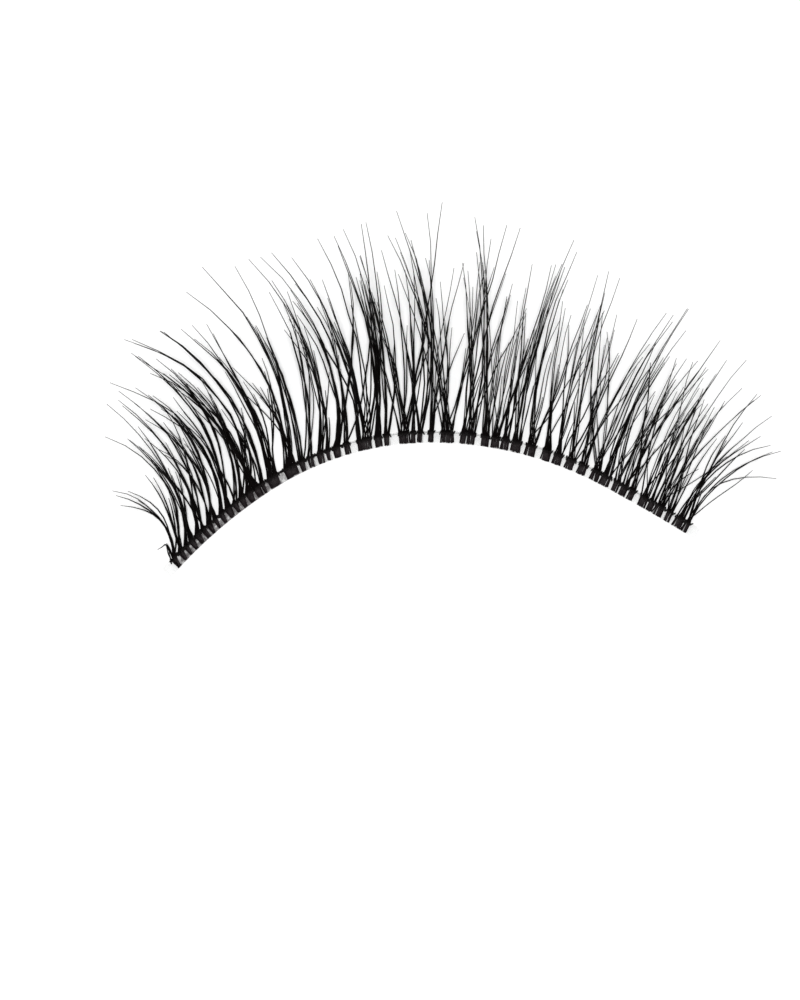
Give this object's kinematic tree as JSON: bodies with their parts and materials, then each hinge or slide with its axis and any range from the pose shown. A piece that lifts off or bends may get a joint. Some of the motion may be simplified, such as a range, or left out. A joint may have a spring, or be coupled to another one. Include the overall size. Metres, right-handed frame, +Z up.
{
  "type": "false eyelash strip",
  "caption": "Strip lash: an arched clear film band with a thread along it and tapered locks of black fibre fanning out and curling up from fused root ends.",
  "frame": {"origin": "on the band's flat back, which is glued to the lid and lies on the surface here, at the top of the arch, 0.1 mm in from its lower edge", "axes": "+X along the strip from its inner-corner end on the left to its outer end, +Y outward from the lid line through the tips, +Z up off the surface, the way that the fibres curl"},
  "size_m": [0.0389, 0.0215, 0.0061],
  "materials": {
    "clear_film": "clear, slightly glossy film with a pale grey cast",
    "thread": "fine two-ply thread, black over the locks and pale grey between them",
    "fibre": "black tapered fibre with a soft satin sheen, matte grey-brown at the pressed root ends"
  },
  "bodies": {
    "root": {"band": "clear_film", "thread": "thread", "lock_01": "fibre", "lock_02": "fibre", "lock_03": "fibre", "lock_04": "fibre", "lock_05": "fibre", "lock_06": "fibre", "lock_07": "fibre", "lock_08": "fibre", "lock_09": "fibre", "lock_10": "fibre", "lock_11": "fibre", "lock_12": "fibre", "lock_13": "fibre", "lock_14": "fibre", "lock_15": "fibre", "lock_16": "fibre", "lock_17": "fibre", "lock_18": "fibre", "lock_19": "fibre", "lock_20": "fibre", "lock_21": "fibre", "lock_22": "fibre", "lock_23": "fibre", "lock_24": "fibre", "lock_25": "fibre", "lock_26": "fibre", "lock_27": "fibre", "lock_28": "fibre", "lock_29": "fibre", "lock_30": "fibre", "lock_31": "fibre", "lock_32": "fibre", "lock_33": "fibre", "lock_34": "fibre", "lock_35": "fibre", "lock_36": "fibre", "lock_37": "fibre", "lock_38": "fibre", "lock_39": "fibre", "lock_40": "fibre", "lock_41": "fibre", "lock_42": "fibre", "lock_43": "fibre", "lock_44": "fibre", "lock_45": "fibre", "lock_46": "fibre", "lock_47": "fibre", "lock_48": "fibre", "lock_49": "fibre", "lock_50": "fibre", "lock_51": "fibre", "lock_52": "fibre", "lock_53": "fibre"}
  },
  "joints": []
}
